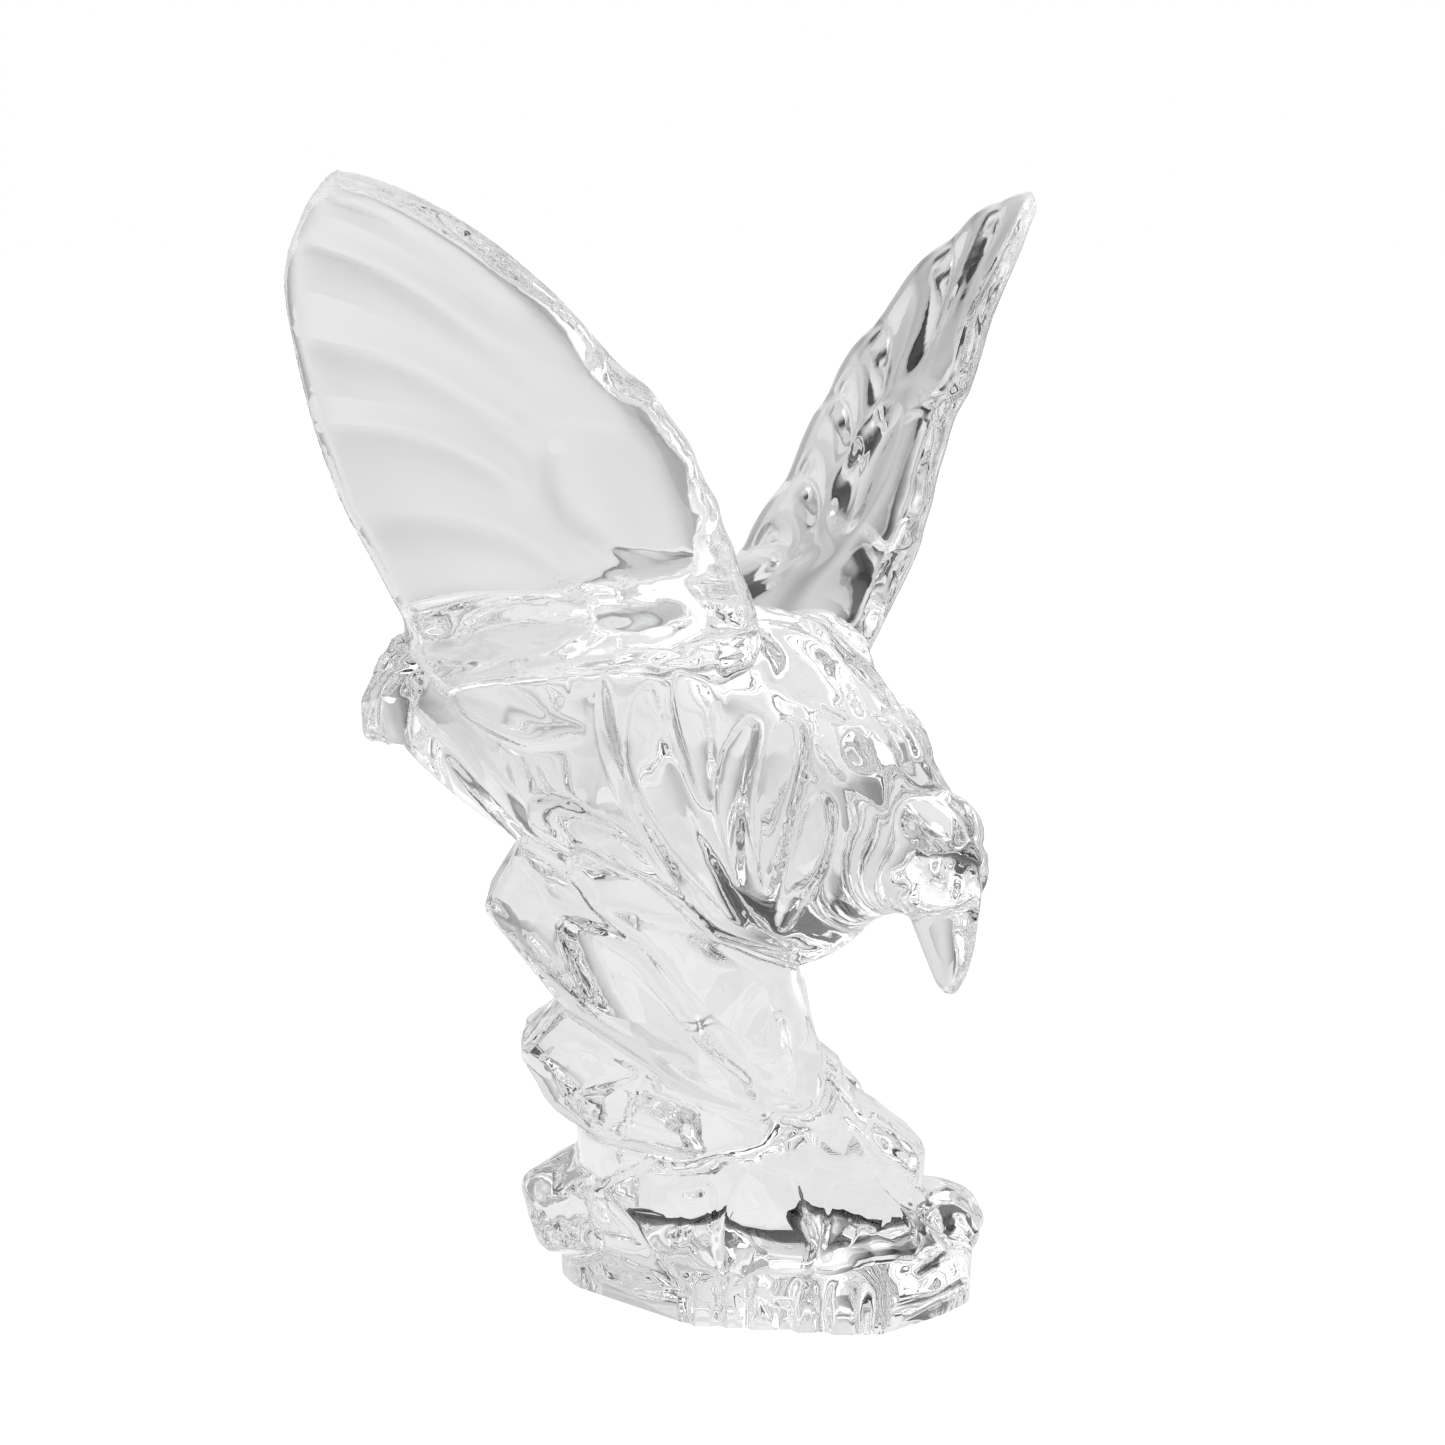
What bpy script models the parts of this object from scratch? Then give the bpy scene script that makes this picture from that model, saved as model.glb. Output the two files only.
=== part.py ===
"""A crystal eagle that lands on its rock, wings up and head down, cast with the rock as one solid piece.

The eagle faces -Y, its left wing is on +X, and the middle of the ground underside of the rock is the origin.
The rock has its own axes, ALONG and ACROSS, because its ledges run at an angle to the bird.
"""

import math

import bmesh
import bpy
from mathutils import Matrix, Vector

# Driving dimensions, in metres
EAGLE_HEIGHT = 0.175  # from the breast's lowest point, where it meets the rock, to the higher wing's tip
ROCK_HEIGHT = 0.072  # from the table to the breast
ROCK_LENGTH = 0.105  # along the ledges
ROCK_DEPTH = 0.079  # across the ledges
RIM_HEIGHT = 0.010  # the upright band round the foot of the rock
WING_ROOT_THICKNESS = 0.0115
WING_TIP_THICKNESS = 0.0055
QUILL_STEP = 0.0009  # how far each flight feather stands over the next
INNER_FACE = 1.9  # how many times deeper the face of each wing is cut that looks at the other one
TUFT_STEP = 0.0026  # how far each tuft of the flanks and neck stands out of the body
DOWN_STEP = 0.0011  # the same for the small lapped tufts of the back and breast
CHAMFER = 0.0015  # the cut corners of the rock's blocks

# How far the rock's ledges are turned from the bird's own left and right, and how finely the form is made
ROCK_TURN = math.radians(-45)
VOXEL = 0.0013
MOST_TRIANGLES = 9400

# The bird is drawn in units of a 175th of its height, and the rock in shares of its own three sizes
BIRD = EAGLE_HEIGHT / 175
ALONG = ROCK_LENGTH / 105
ACROSS = ROCK_DEPTH / 79
UP = ROCK_HEIGHT / 72

# The quills from the wing's root to its tip: where each starts at the leading edge and ends at the trailing edge,
# as (out, back, up) from the middle of the breast's lowest point
QUILLS = [
    ((17, -17, 70), (15, 84, 54)),
    ((22, -20, 82), (34, 77, 66)),
    ((27, -21, 91), (49.5, 60, 76)),
    ((31, -21, 100), (60, 56, 88)),
    ((36, -20, 111), (72, 54, 105)),
    ((42.5, -18.5, 121.5), (82, 51, 124)),
    ((51.5, -16, 130), (96, 40, 149)),
    ((63, -11, 143), (101.5, 27.5, 162)),
    ((81, -4.5, 158), (104, 18, 168.5)),
    ((99.5, 5.5, 169.5), (106, 11, 171)),
]

# The two wings aren't quite alike: how far the right and the left one rise, against the rows above
WING_RISE = {-1: 1.03, 1: 0.965}

# The edges of the lapped flight feathers, from the root outwards: the share of the chord where each leaves the
# small feathers, the share of the span there, and the share of the span at the trailing edge
FEATHER_EDGES = [(0.45, 0.16, 0.272), (0.50, 0.311, 0.406), (0.48, 0.428, 0.533)]
FEATHER_EDGES += [(0.375, 0.489, 0.617), (0.26, 0.594, 0.744), (0.25, 0.66, 0.885)]

# The body from tail root to forehead: how far back, half width, underside, back line
BODY = [
    (112, 15, 38, 58),
    (100, 18, 30, 61),
    (80, 21, 21, 66),
    (60, 23, 16, 71),
    (35, 25, 9, 76),
    (10, 27, 4, 80),
    (-10, 27, 1.5, 79),
    (-22, 24, 6, 74),
    (-32, 19.5, 14, 65.5),
    (-42, 15.5, 18.5, 57),
    (-50, 12.5, 19.5, 49),
    (-57.5, 9.5, 21, 42),
    (-62.5, 6.5, 24, 36),
    (-64.5, 3.5, 27, 33),
]

# Knuckles that stand out of the leading edge: where along the span, how wide and how far
KNUCKLES = [(0.64, 0.03, 2.0), (0.5, 0.03, 0.9), (0.38, 0.025, 1.1), (0.27, 0.025, 0.8), (0.8, 0.04, 0.7)]

# The long pointed tufts of each flank from root to point, as (back, up), and their half widths
TUFTS = [
    ([(92, 50), (74, 45), (54, 30), (36, 17), (18, 6)], 3.5),
    ([(80, 40), (62, 27), (46, 14), (28, 5.5), (8, 3.5)], 3.2),
    ([(80, 58), (62, 53), (44, 50), (28, 52)], 6),
    ([(50, 30), (30, 28), (6, 23), (-10, 14), (-22, 9)], 7.5),
    ([(26, 64), (19, 51.5), (12, 41.5), (4.6, 31.4), (-3.3, 21.2), (-10, 9)], 3.4),
    ([(11, 64), (4, 47), (-4, 36), (-12, 25), (-17, 13)], 6.5),
    ([(1, 69), (-8.5, 54), (-13, 42)], 5),
    ([(-20, 60), (-18.3, 50.7), (-18, 43), (-18.5, 34.7), (-18.3, 24)], 4),
    ([(-28, 60), (-27.4, 46), (-26.4, 35), (-24, 23)], 6),
    ([(-37, 46), (-35, 35), (-30, 25), (-23, 14)], 4.5),
]

# The beak from its root to its point: (back, up) of its front and of its back edge, and its half width
BEAK = [
    ((-60, 36), (-46, 24), 7.5),
    ((-65.5, 29), (-47, 20), 6.2),
    ((-65, 20), (-49.5, 15), 5.2),
    ((-64, 14), (-52, 10), 4.2),
    ((-62, 8), (-54.5, 5.5), 2.9),
    ((-59.5, 4), (-57, 3.5), 1.4),
]


def along_curve(points, share):
    """The point at this share of a smooth curve through rows of numbers, by Catmull and Rom's rule."""
    place = min(max(share, 0), 1) * (len(points) - 1)
    start = min(int(place), len(points) - 2)
    t = place - start
    p0, p1, p2, p3 = (points[min(max(start + k, 0), len(points) - 1)] for k in (-1, 0, 1, 2))
    return [
        0.5 * (2 * b + (c - a) * t + (2 * a - 5 * b + 4 * c - d) * t**2 + (3 * b - a - 3 * c + d) * t**3)
        for a, b, c, d in zip(p0, p1, p2, p3)
    ]


def smooth_step(low, high, value):
    t = min(max((value - low) / (high - low), 0), 1)
    return t * t * (3 - 2 * t)


def edges_of(verts):
    return list(dict.fromkeys(edge for vert in verts for edge in vert.link_edges))


def faces_of(verts):
    return list(dict.fromkeys(face for vert in verts for face in vert.link_faces))


def add_skin(bm, place, around, lengthwise):
    """A closed skin: a grid rolled into a tube by place(share round, share along), with both ends filled."""
    made = bmesh.ops.create_grid(bm, x_segments=around, y_segments=lengthwise, size=0.5)["verts"]
    for vert in made:
        vert.co = place(vert.co.x + 0.5, vert.co.y + 0.5)
    bmesh.ops.remove_doubles(bm, verts=made, dist=1e-7)
    made = [vert for vert in made if vert.is_valid]
    open_edges = [edge for edge in edges_of(made) if edge.is_boundary]
    if open_edges:
        bmesh.ops.holes_fill(bm, edges=open_edges, sides=0)
    bmesh.ops.recalc_face_normals(bm, faces=faces_of(made))


# The wings


def wing_point(side, span, chord):
    """The middle of the wing's thickness at a share of its span and of its chord."""
    front = along_curve([q[0] for q in QUILLS], span)
    back = along_curve([q[1] for q in QUILLS], span)
    point = Vector(front).lerp(Vector(back), chord)
    point += Vector((-1.6, 0, 2.4)) * 4 * chord * (1 - chord) * (1 - span)
    rise = 62 + (point.z - 62) * WING_RISE[side]
    return Vector((side * point.x, point.y, rise)) * BIRD + Vector((0, 0, ROCK_HEIGHT))


def feather_lap(span, chord):
    """How high a flight feather stands at this place: each is a rounded blade that laps over the next."""
    edges = []
    for start, low, high in FEATHER_EDGES:
        bend = max(0, 1 - (chord - start) / (0.95 - start))
        edges.append(high - (high - low) * bend**3 if chord > start - 0.04 else None)
    below = [edge for edge in edges if edge is not None and edge <= span]
    above = [edge for edge in edges if edge is not None and edge > span]
    low = below[-1] if below else 0.02
    high = above[0] if above else 1.1
    climb = (span - low) / max(high - low, 0.02)
    if not above:
        return 0.5 * (1 - climb) ** 2
    return 3.2 * climb * (1 - climb) + 0.3 * (climb if climb < 0.8 else (1 - climb) / 0.2 * 0.8)


def wing_carving(span, chord, point, cushion):
    """How far the wing's face stands out: lapped flight feathers, and the soft cushion of small feathers."""
    flight = smooth_step(0.3, 0.5, chord + 0.35 * max(0, span - 0.5)) * smooth_step(1, 0.95, chord)
    off = (point - cushion) / BIRD
    across = off.y / 13.5
    ring = math.hypot(across, off.z / 15)
    bead = 0.6 * math.exp(-(((ring - 1.05) / 0.2) ** 2)) * smooth_step(-0.6, 0.4, across)
    dish = -0.35 * smooth_step(1.05, 0.55, ring)
    arm = 0.9 * math.exp(-(((chord - 0.17) / 0.09) ** 2)) * smooth_step(0.75, 0.3, span)
    feathers = flight * smooth_step(1.0, 1.25, ring) * (feather_lap(span, chord) - 0.4)
    return QUILL_STEP * (feathers + bead + dish + arm)


def knuckle(span):
    """How far the leading edge stands out in knuckles at this share of the span."""
    return sum(far * math.exp(-(((span - where) / wide) ** 2)) for where, wide, far in KNUCKLES)


def add_wing(bm, side):
    cushion = wing_point(side, 0.406, 0.275)

    def place(around, span):
        turn = 2 * math.pi * around
        chord = 0.5 - 0.5 * math.cos(turn)
        face = 1 if math.sin(turn) >= 0 else -1
        middle = wing_point(side, span, chord)
        across = wing_point(side, span, min(chord + 0.02, 1)) - wing_point(side, span, max(chord - 0.02, 0))
        outward = wing_point(side, min(span + 0.02, 1), chord) - wing_point(side, max(span - 0.02, 0), chord)
        normal = across.cross(outward).normalized()
        width = (wing_point(side, span, 1) - wing_point(side, span, 0)).length
        inner = normal.x * face * side < 0
        bevel = (0.0018, 0.0015, 70) if inner else (0.0055, 0.003, 22)
        rim = min(chord * width / bevel[0], (1 - chord) * width / bevel[1], (1 - span) * bevel[2])
        half = 0.5 * (WING_ROOT_THICKNESS + (WING_TIP_THICKNESS - WING_ROOT_THICKNESS) * span**0.7)
        half *= 1 - 0.3 * smooth_step(0.1, 0.9, chord)
        half *= 0.3 + 0.7 * min(rim, 1)
        edge = min(1, abs(math.sin(turn)) * 6)
        carving = wing_carving(span, chord, middle, cushion) * smooth_step(0.6, 1.6, rim) * (INNER_FACE if inner else 1)
        forward = -across.normalized() * BIRD * knuckle(span) * (1 - chord) ** 8
        return middle + forward + normal * face * (half + carving) * edge

    add_skin(bm, place, 56, 60)


# The body, head and beak


def lapped_tufts(round_share, back, pitch, count):
    """Rows of pointed tufts that lap over each other towards the tail: 0 at a tuft's root, 1 at its end."""
    row = math.floor(back / pitch)
    best = 0
    for k in (0, 1):
        cell = round_share * count + 0.5 * ((row + k) % 2)
        off = abs(2 * (cell - math.floor(cell)) - 1)
        reach = back / pitch - (row + k) + 1 + 0.75 * (1 - off) ** 1.3 - 0.75
        best = max(best, reach if 0 < reach < 1 else 0)
    return best


def body_ring(back):
    """Half width, underside and back line of the body at this distance back."""
    length = 0.5
    for k in range(1, 12):
        length += 0.5**(k + 1) * (1 if along_curve(BODY, length)[0] > back else -1)
    return along_curve(BODY, length)[1:]


def add_body(bm):
    def place(around, length):
        back, half_width, low, high = along_curve(BODY, length)
        turn = 2 * math.pi * around
        ends = math.sqrt(max(0, min(1, (1 - length) * 14, length * 30)))
        middle = (low + high) / 2
        shown = smooth_step(-54, -44, back) * smooth_step(100, 70, back) * smooth_step(-0.1, 0.5, -math.cos(turn))
        tufts = lapped_tufts(around, back + 60, 19, 9)
        out = 1 + DOWN_STEP / BIRD * shown * (tufts - 0.5) / half_width
        x = half_width * ends * math.sin(turn) * out
        z = middle - (high - low) / 2 * ends * math.cos(turn) * out
        return Vector((x, back, z)) * BIRD + Vector((0, 0, ROCK_HEIGHT))

    add_skin(bm, place, 64, 100)


def flank_point(side, back, up):
    """A point of the body's flank and the way out of it there."""
    half_width, low, high = body_ring(back)
    middle = (low + high) / 2
    rise = min(max((up - middle) / (high - low) * 2, -0.97), 0.97)
    out = half_width * math.sqrt(1 - rise**2)
    normal = Vector((side * out / half_width**2, 0, (up - middle) / ((high - low) / 2) ** 2)).normalized()
    return Vector((side * out, back, up)) * BIRD + Vector((0, 0, ROCK_HEIGHT)), normal


def add_tuft(bm, side, path, half_width):
    """One long tuft: blunt where it leaves the body, pointed at its end, flat across and higher at one edge."""

    def place(around, length):
        middle, outward = flank_point(side, *along_curve(path, length))
        ahead = flank_point(side, *along_curve(path, min(length + 0.03, 1)))[0]
        behind = flank_point(side, *along_curve(path, max(length - 0.03, 0)))[0]
        across = (ahead - behind).cross(outward).normalized()
        full = min(1, length * 5) ** 0.5 * (1 - length**2.2) ** 0.8
        turn = 2 * math.pi * around
        swell = 1 - abs(math.sin(turn)) ** 3.5
        lap = 0.8 + 0.3 * math.sin(turn)
        out = TUFT_STEP * (0.25 + 0.75 * swell * lap) if math.cos(turn) > 0 else -1.2 * TUFT_STEP * swell
        return middle + across * half_width * BIRD * full * math.sin(turn) + outward * out * full**0.5

    add_skin(bm, place, 20, 26)


def add_beak(bm):
    rows = [(*front, *rear, half) for front, rear, half in BEAK]

    def place(around, length):
        front_y, front_z, rear_y, rear_z, half = along_curve(rows, length)
        turn = 2 * math.pi * around
        forward = 0.5 + 0.5 * math.cos(turn)
        x = half * math.sin(turn) * (0.55 + 0.45 * (1 - forward))
        y = rear_y + (front_y - rear_y) * forward
        z = rear_z + (front_z - rear_z) * forward
        return Vector((x, y, z)) * BIRD + Vector((0, 0, ROCK_HEIGHT))

    add_skin(bm, place, 28, 26)


def add_bulge(bm, middle, radii, pitch, side=1):
    """An egg of glass that swells the form: a collar, a crown, a cheek, a thigh."""
    turn = Matrix.Rotation(math.radians(pitch), 4, "X")
    place = Matrix.Translation(Vector((side * middle[0], middle[1], middle[2])) * BIRD + Vector((0, 0, ROCK_HEIGHT)))
    size = Matrix.Diagonal((radii[0] * BIRD, radii[1] * BIRD, radii[2] * BIRD, 1))
    bmesh.ops.create_uvsphere(bm, u_segments=24, v_segments=14, radius=1, matrix=place @ turn @ size)


def add_head(bm):
    add_beak(bm)
    for side in (-1, 1):
        add_bulge(bm, (2.5, -37, 51.5), (10.5, 10, 9), 38, side)
        add_bulge(bm, (2.5, -53.5, 39.5), (8.2, 9.5, 5.8), 30, side)
        add_bulge(bm, (6, -49, 31.5), (6.2, 9.5, 6.5), 22, side)
        add_bulge(bm, (6.2, -60, 32.5), (2, 2.2, 2), 0, side)


def add_flanks(bm):
    for side in (-1, 1):
        add_bulge(bm, (13, -6, 61), (9, 16, 18), 30, side)
        add_bulge(bm, (11, 10, 12), (9, 19, 11), -25, side)
        for path, half_width in TUFTS:
            add_tuft(bm, side, path, half_width)


def add_tail(bm):
    """A thick fan, arched from side to side, whose feathers lap outwards from the middle one."""
    feathers = 7

    def place(around, length):
        turn = 2 * math.pi * around
        spread = math.sin(turn)
        over = 1 if math.cos(turn) >= 0 else -1
        back = 62 + 53 * length - 5 * length * spread**2
        half_width = 13 + 9 * length
        lap = (abs(spread) * feathers / 2 + 0.5) % 1
        top = 66 - 1.5 * length - (9 + 7 * length) * spread**2
        thick = 21 - 7 * length
        groove = 1.3 * (1 - lap) * length * (1 - smooth_step(0.9, 1, abs(spread)))
        rounded = math.sqrt(max(0, 1 - spread**2))
        z = top - groove if over > 0 else top - thick * min(1, 2.2 * rounded) + groove
        return Vector((half_width * spread, back, z)) * BIRD + Vector((0, 0, ROCK_HEIGHT))

    add_skin(bm, place, 72, 20)


# The rock


def rock_matrix():
    return Matrix.Rotation(ROCK_TURN, 4, "Z") @ Matrix.Diagonal((ALONG, -ACROSS, UP, 1))


def add_hull(bm, points):
    """A block of rock: the tightest skin round points (along, across, up) with its corners cut."""
    made = [bm.verts.new(point) for point in points]
    bmesh.ops.convex_hull(bm, input=made)
    bmesh.ops.delete(bm, geom=[vert for vert in made if not vert.link_faces], context="VERTS")
    made = [vert for vert in made if vert.is_valid]
    bmesh.ops.dissolve_limit(bm, angle_limit=0.05, verts=made, edges=edges_of(made))
    made = [vert for vert in made if vert.is_valid]
    cut = bmesh.ops.bevel(
        bm,
        geom=edges_of(made),
        offset=CHAMFER / UP,
        affect="EDGES",
        segments=1,
        profile=0.5,
        clamp_overlap=True,
        material=-1,
    )
    made = list(dict.fromkeys([vert for vert in made if vert.is_valid] + cut["verts"]))
    bmesh.ops.transform(bm, matrix=rock_matrix(), verts=made)
    bmesh.ops.recalc_face_normals(bm, faces=faces_of(made))


def add_ledge(bm, profile, front, back, taper=0.86, lean=0):
    """A block whose outline (along, up) runs from front to back and draws in a little towards both."""
    middle = [sum(p[k] for p in profile) / len(profile) for k in (0, 1)]
    points = []
    for across, share in ((front, taper), ((front + back) / 2, 1), (back, taper)):
        for p in profile:
            along, up = (middle[k] + (p[k] - middle[k]) * share for k in (0, 1))
            points.append((along + lean * (across - (front + back) / 2), across, up))
    add_hull(bm, points)


FOOT = [(-44, -2), (-40, 8), (-30, 12), (-15, 32), (10, 36.5), (27, 39.5), (41, 27), (48, 18), (50, -8), (38, -30)]
FOOT += [(10, -39.5), (-22, -36), (-41, -20)]


# Four leaning blocks on the front of the mound, each by its corners as (along, across, up)
FACETS = [
    [(-31, 15, 6), (-14, 31, 6), (-6, 33.5, 10), (-9, 25, 31), (-25, 19, 27), (-30, 13, 20), (-16, 8, 8)],
    [(-8, 34, 6), (11, 38, 6), (14, 34, 20), (9, 25, 33), (-3, 27, 36), (-9, 31, 22), (4, 8, 8)],
    [(13, 38, 6), (33, 34, 6), (37, 26, 20), (27, 22, 33), (16, 26, 30), (13, 34, 17), (22, 8, 8)],
    [(34, 32, 6), (45, 18, 6), (42, 12, 20), (31, 11, 32), (28, 19, 27), (34, 26, 19), (26, 0, 8)],
]


def add_rock(bm):
    rim = RIM_HEIGHT / UP
    add_hull(bm, [(a * share, c * share, up) for a, c in FOOT for share, up in ((0.985, -4), (1, rim), (0.9, rim + 4))])
    # Short upright ribs along the front of the rim
    for along, half_width in ((-11, 2.4), (-4.5, 2), (2, 2.8), (11, 2.2), (19, 2.6)):
        across = 32 + 4.5 * (along + 15) / 25 if along < 10 else 36.5 + 3 * (along - 10) / 17
        cuts = [(1, -4), (1, rim - 1), (0.8, rim + 1)]
        corners = [(a, deep, *cut) for a in (-half_width, half_width) for deep in (0, 6) for cut in cuts]
        add_hull(bm, [(along + a * share, across + 0.9 * share - deep, up) for a, deep, share, up in corners])
    # The mound that spreads from the column to the foot, with flat faces
    for corners in FACETS:
        add_hull(bm, corners)
    mound = [(-8, 16, 43), (18, 12, 43), (16, -10, 46), (-16, -12, 46), (-33, 19, 25), (-38, -4, 24)]
    mound += [(-15, 32, 9), (10, 36.5, 10), (27, 38, 10), (42, 25, 13), (44, 8, 14), (40, -20, 12), (8, -34, 12)]
    add_hull(bm, mound + [(-30, -26, 14), (-41, 5, 8), (0, 0, -2)])
    # The column, and the leaning slabs across its front, whose prows point left
    add_ledge(bm, [(-40, 98), (-45, 80), (-32, 52), (-12, 40), (15, 41), (15, 54), (9, 76), (-12, 90)], 20, -20, 0.9)
    add_ledge(bm, [(-52, 102), (-60, 89), (-41, 65), (-14, 46), (4, 40), (5, 46), (-8, 60), (-24, 84)], 24, -12, 0.84)
    add_ledge(bm, [(-42, 66), (-52.5, 56), (-46, 44), (-36, 36), (-12, 31), (8, 34), (6, 42), (-18, 54)], 21, -19, 0.86)
    add_ledge(bm, [(-41, 42), (-39, 27), (-26, 14), (22, 12), (27, 38), (16, 50), (-8, 48)], 16, -24)
    # Prisms that stand out at the foot: left, far right, right shoulder, right top, and three behind
    add_ledge(bm, [(-52, 23), (-48, 8), (-20, 2), (-18, 26), (-34, 33)], 14, -8, 0.8, 0.15)
    add_ledge(bm, [(20, 6), (45, 1), (52.5, 11), (48, 18.5), (24, 24)], 14, -14, 0.75, -0.2)
    add_ledge(bm, [(8, 20), (37, 18), (37, 32), (27, 40), (8, 46)], 10, -18, 0.8, 0.2)
    add_ledge(bm, [(4, 34), (22, 32), (20.5, 49), (14, 54), (4, 56)], 8, -14, 0.8)
    add_ledge(bm, [(-34, 10), (-14, 6), (-12, 34), (-26, 40)], -14, -37, 0.7, 0.3)
    add_ledge(bm, [(0, 8), (30, 4), (26, 28), (6, 34)], -16, -38, 0.75, -0.3)


def finish(bm):
    """Fuses the shells into one skin, softens it as fire polish does, and grinds the underside flat."""
    mesh = bpy.data.meshes.new("crystal_eagle")
    bm.to_mesh(mesh)
    bm.free()
    eagle = bpy.data.objects.new("crystal_eagle", mesh)
    bpy.data.collections["Crystal eagle"].objects.link(eagle)
    fuse = eagle.modifiers.new("Fuse", "REMESH")
    fuse.mode = "VOXEL"
    fuse.voxel_size = VOXEL
    soften = eagle.modifiers.new("Fire polish", "SMOOTH")
    soften.factor = 0.5
    soften.iterations = 2
    bpy.context.view_layer.update()
    fused = eagle.evaluated_get(bpy.context.evaluated_depsgraph_get())
    count = sum(len(face.vertices) - 2 for face in fused.data.polygons)
    thin = eagle.modifiers.new("Fewer faces", "DECIMATE")
    thin.ratio = min(1, MOST_TRIANGLES / count)
    thin.use_collapse_triangulate = True
    bpy.ops.mesh.primitive_cube_add(size=1, location=(0, 0, -0.025))
    table = bpy.context.object
    table.name = "table_cutter"
    table.scale = (4 * ROCK_LENGTH, 4 * ROCK_LENGTH, 0.05)
    for collection in list(table.users_collection):
        collection.objects.unlink(table)
    bpy.data.collections["Cutters"].objects.link(table)
    table.hide_render = True
    table.display_type = "WIRE"
    grind = eagle.modifiers.new("Ground underside", "BOOLEAN")
    grind.operation = "DIFFERENCE"
    grind.object = table
    return eagle


def crystal():
    material = bpy.data.materials.new("Clear crystal")
    material.use_nodes = True
    shader = material.node_tree.nodes["Principled BSDF"]
    shader.inputs["Base Color"].default_value = (0.95, 0.96, 0.96, 1)
    shader.inputs["Roughness"].default_value = 0.02
    shader.inputs["Metallic"].default_value = 0
    shader.inputs["IOR"].default_value = 1.54
    shader.inputs["Transmission Weight"].default_value = 1
    return material


def main():
    for old in list(bpy.data.objects):
        bpy.data.objects.remove(old)
    for name in ("Crystal eagle", "Cutters"):
        bpy.context.scene.collection.children.link(bpy.data.collections.new(name))
    bm = bmesh.new()
    for side in (-1, 1):
        add_wing(bm, side)
    add_body(bm)
    add_head(bm)
    add_flanks(bm)
    add_tail(bm)
    add_rock(bm)
    eagle = finish(bm)
    eagle.data.materials.append(crystal())


main()
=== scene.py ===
import math

import bmesh
import bpy
from mathutils import Matrix, Vector, noise


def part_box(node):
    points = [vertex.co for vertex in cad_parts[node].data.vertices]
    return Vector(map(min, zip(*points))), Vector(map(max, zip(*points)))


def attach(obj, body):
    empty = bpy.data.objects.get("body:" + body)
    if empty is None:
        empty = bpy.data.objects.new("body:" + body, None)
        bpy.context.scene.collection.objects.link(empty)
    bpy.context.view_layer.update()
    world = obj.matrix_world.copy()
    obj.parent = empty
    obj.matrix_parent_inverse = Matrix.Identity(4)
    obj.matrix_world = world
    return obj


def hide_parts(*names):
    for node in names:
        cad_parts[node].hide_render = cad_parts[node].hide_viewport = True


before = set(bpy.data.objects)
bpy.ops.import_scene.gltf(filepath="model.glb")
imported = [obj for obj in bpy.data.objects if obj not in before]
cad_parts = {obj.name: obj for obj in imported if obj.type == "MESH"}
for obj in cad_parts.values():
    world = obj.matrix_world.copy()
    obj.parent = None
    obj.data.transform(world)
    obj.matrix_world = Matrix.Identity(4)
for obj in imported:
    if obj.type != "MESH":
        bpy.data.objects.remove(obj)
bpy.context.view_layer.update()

# The view: the photograph looks at the eagle from its right front, a little from above, with a long lens,
# so the camera stands well back.

VIEW_TURN = math.radians(-45)
VIEW_RISE = math.radians(10)
VIEW_DISTANCE = 0.75
VIEW_MIDDLE = Vector((-0.00503, 0.00503, 0.1265))

camera = bpy.data.objects.new("camera", bpy.data.cameras.new("camera"))
camera.data.sensor_width = 36
camera.data.lens = 85.32
towards_camera = Vector((math.sin(VIEW_TURN), -math.cos(VIEW_TURN), math.tan(VIEW_RISE))).normalized()
camera.location = VIEW_MIDDLE + towards_camera * VIEW_DISTANCE
camera.rotation_euler = towards_camera.to_track_quat("Z", "Y").to_euler()
bpy.context.scene.collection.objects.link(camera)
bpy.context.scene.camera = camera

# The studio: soft panels and dark flags stand round the eagle. Clear crystal has no colour of its own, so
# the flags draw its edges and folds. The eye sees nothing but white behind and beneath the eagle itself.

# How bright the studio is round the eagle, in twelve steps from the camera's own side by way of the right,
# the far side and the left: rows from the horizon up to the ceiling
PANELS = [
    (1.46, 0.98, 0.10, 0.43, 0.58, 0.72, 0.72, 0.90, 0.03, 0.83, 1.03, 1.50),
    (0.91, 0.55, 0.05, 0.42, 0.63, 0.53, 0.90, 0.02, 0.12, 0.15, 0.62, 1.03),
    (0.02, 0.02, 0.02, 0.63, 0.88, 0.98, 1.17, 0.28, 0.11, 0.02, 0.18, 0.02),
    (0.02, 0.30, 0.55, 0.77, 0.72, 0.68, 0.64, 0.55, 0.48, 0.40, 0.25, 0.12),
]
PANEL_EDGES = (0.26, 0.57, 0.87)
PANEL_BLEND = 0.03
# Painted light and shade on the table, which only the crystal shows, in the same twelve steps: under the
# eagle, next to it, and further off, in metres
TABLE_PAINTED_LIGHT = [
    (0.83, 0.83, 0.83, 0.83, 0.83, 0.83, 0.83, 0.83, 0.83, 0.83, 0.83, 0.83),
    (0.02, 0.02, 0.02, 0.02, 0.30, 0.80, 0.80, 0.80, 1.50, 1.50, 1.50, 0.40),
    (0.02, 0.30, 0.80, 1.50, 0.90, 0.30, 0.72, 0.30, 0.90, 1.50, 1.20, 0.50),
]
TABLE_EDGES = (0.12, 0.4)
TABLE_BLEND = 0.04
BRIGHTEST = 1.5
TABLE_RADIUS = 6


def linked(tree, kind, value, socket, **settings):
    """A new node of this kind with its settings, fed at one of its inputs."""
    node = tree.nodes.new(kind)
    for name, setting in settings.items():
        setattr(node, name, setting)
    tree.links.new(value, node.inputs[socket])
    return node


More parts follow.
